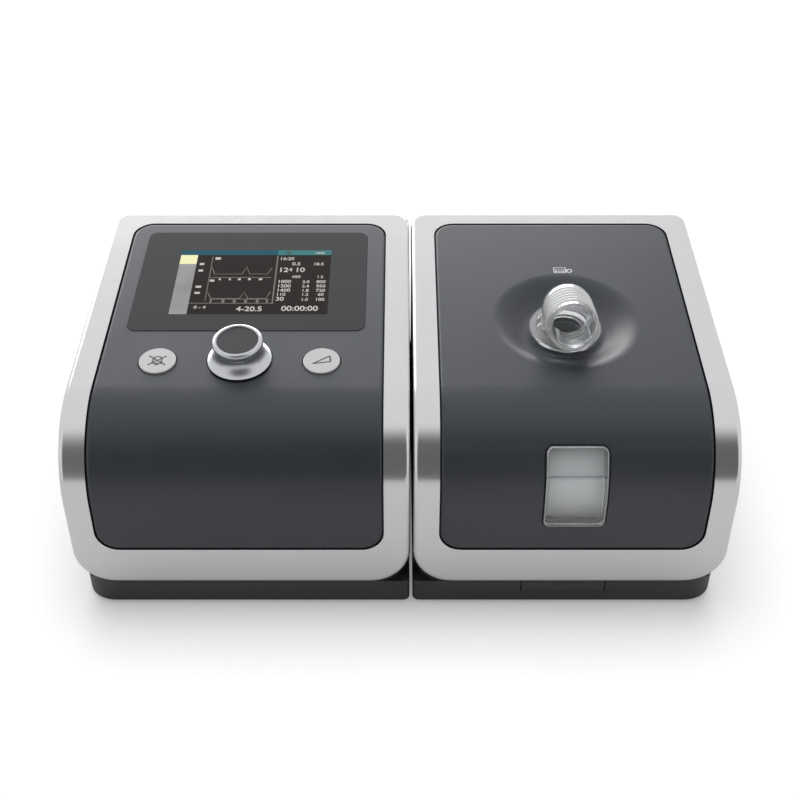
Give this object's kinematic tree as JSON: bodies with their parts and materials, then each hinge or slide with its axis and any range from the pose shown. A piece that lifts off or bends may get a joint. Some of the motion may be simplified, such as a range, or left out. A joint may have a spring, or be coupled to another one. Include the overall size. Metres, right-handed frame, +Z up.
{
  "type": "cpap machine",
  "caption": "Two-box bedside breathing-pressure machine: display unit with knob and round keys, docked humidifier with clear swivel outlet and water window.",
  "frame": {"origin": "on the floor, at the middle of the footprint of both boxes", "axes": "+X to the user's right, +Y to the back, +Z up; the front faces -Y"},
  "size_m": [0.29, 0.1808, 0.1288],
  "materials": {
    "silver_frame": "satin silver paint on moulded frame",
    "dark_panel": "graphite grey, fine soft grain",
    "dark_case": "dark grey, fine grain",
    "smoked_lens": "smoked, glossy",
    "lcd": "display glass",
    "key": "satin light silver",
    "chrome": "brushed and bright",
    "knob_insert": "fine turned grain",
    "clear_plastic": "clear moulded polycarbonate",
    "steel": "plain steel",
    "aluminium": "plain",
    "rubber": "matt black rubber",
    "silicone": "translucent grey silicone",
    "board": "green solder mask",
    "component": "black moulded parts",
    "foam": "open foam",
    "filter_pad": "white fibre pad",
    "blower_case": "grey moulded",
    "impeller_plastic": "off-white moulded",
    "insulation": "heat-resistant moulding",
    "tab": "dark grey, fine grain"
  },
  "bodies": {
    "main_unit": {"main_frame": "silver_frame", "main_panel": "dark_panel", "main_housing": "dark_case", "main_feet": "rubber", "main_screws": "steel", "display_lens": "smoked_lens", "lcd_module": "lcd", "control_board": "board", "tact_switches": "component", "encoder_body": "component", "inlet_filter": "filter_pad", "dc_inlet": "component", "data_port": "component", "card_socket": "steel", "main_board": "board", "blower_mounts": "silicone", "blower_lower": "blower_case", "blower_upper": "blower_case", "motor_can": "aluminium", "muffler_foam": "foam", "blower_duct": "silicone", "outlet_spigot": "blower_case"},
    "mute_key": {"mute_button": "key"},
    "ramp_key": {"ramp_button": "key"},
    "knob_shaft": {"encoder_plunger": "aluminium"},
    "knob": {"knob_body": "chrome", "knob_cap": "knob_insert"},
    "rotor": {"impeller": "impeller_plastic", "motor_shaft": "steel"},
    "filter_door": {"filter_cover": "dark_case"},
    "memory_card": {"sd_card": "component"},
    "humidifier": {"humidifier_housing": "dark_case", "humidifier_feet": "rubber", "humidifier_screws": "steel", "hinge_pins": "steel", "chamber_tub": "clear_plastic", "chamber_gasket": "silicone", "chamber_cover": "clear_plastic", "chamber_plate": "aluminium", "heater_plate": "aluminium", "heater_insulator": "insulation", "inlet_seal": "silicone"},
    "hood": {"hood_frame": "silver_frame", "hood_panel": "dark_panel", "water_window": "clear_plastic", "outlet_gasket": "silicone"},
    "elbow": {"outlet_elbow": "clear_plastic", "elbow_ring": "clear_plastic"},
    "tab": {"release_tab": "tab"}
  },
  "joints": [
    {"name": "mute_press", "type": "slide", "parent": "main_unit", "child": "mute_key", "axis": [0, 0.1461, -0.9893], "range_m": [0, 0.0006], "stiffness_N_per_m": 2500},
    {"name": "ramp_press", "type": "slide", "parent": "main_unit", "child": "ramp_key", "axis": [0, 0.1461, -0.9893], "range_m": [0, 0.0006], "stiffness_N_per_m": 2500},
    {"name": "knob_press", "type": "slide", "parent": "main_unit", "child": "knob_shaft", "axis": [0, 0.1461, -0.9893], "range_m": [0, 0.0006], "stiffness_N_per_m": 4000},
    {"name": "knob_turn", "type": "hinge", "parent": "knob_shaft", "child": "knob", "pos_m": [-0.071, -0.04004, 0.1063], "axis": [0, -0.1461, 0.9893], "continuous": true},
    {"name": "impeller_spin", "type": "hinge", "parent": "main_unit", "child": "rotor", "pos_m": [-0.08, -0.002, 0.02], "axis": [0, 0, 1], "continuous": true},
    {"name": "filter_pull", "type": "slide", "parent": "main_unit", "child": "filter_door", "axis": [0, 0.9893, 0.1461], "range_m": [0, 0.014]},
    {"name": "card_slide", "type": "slide", "parent": "main_unit", "child": "memory_card", "axis": [-1, 0, 0], "range_m": [0, 0.026]},
    {"name": "humidifier_undock", "type": "slide", "parent": "main_unit", "child": "humidifier", "axis": [1, 0, 0], "range_m": [0, 0.034]},
    {"name": "hood_hinge", "type": "hinge", "parent": "humidifier", "child": "hood", "pos_m": [0.07525, 0.07578, 0.10369], "axis": [-1, 0, 0], "range_deg": [0, 85]},
    {"name": "elbow_swivel", "type": "hinge", "parent": "hood", "child": "elbow", "pos_m": [0.07645, -0.01089, 0.09847], "axis": [0, -0.1461, 0.9893], "continuous": true},
    {"name": "tab_press", "type": "slide", "parent": "humidifier", "child": "tab", "axis": [0, 1, 0], "range_m": [0, 0.0016], "stiffness_N_per_m": 1200}
  ]
}
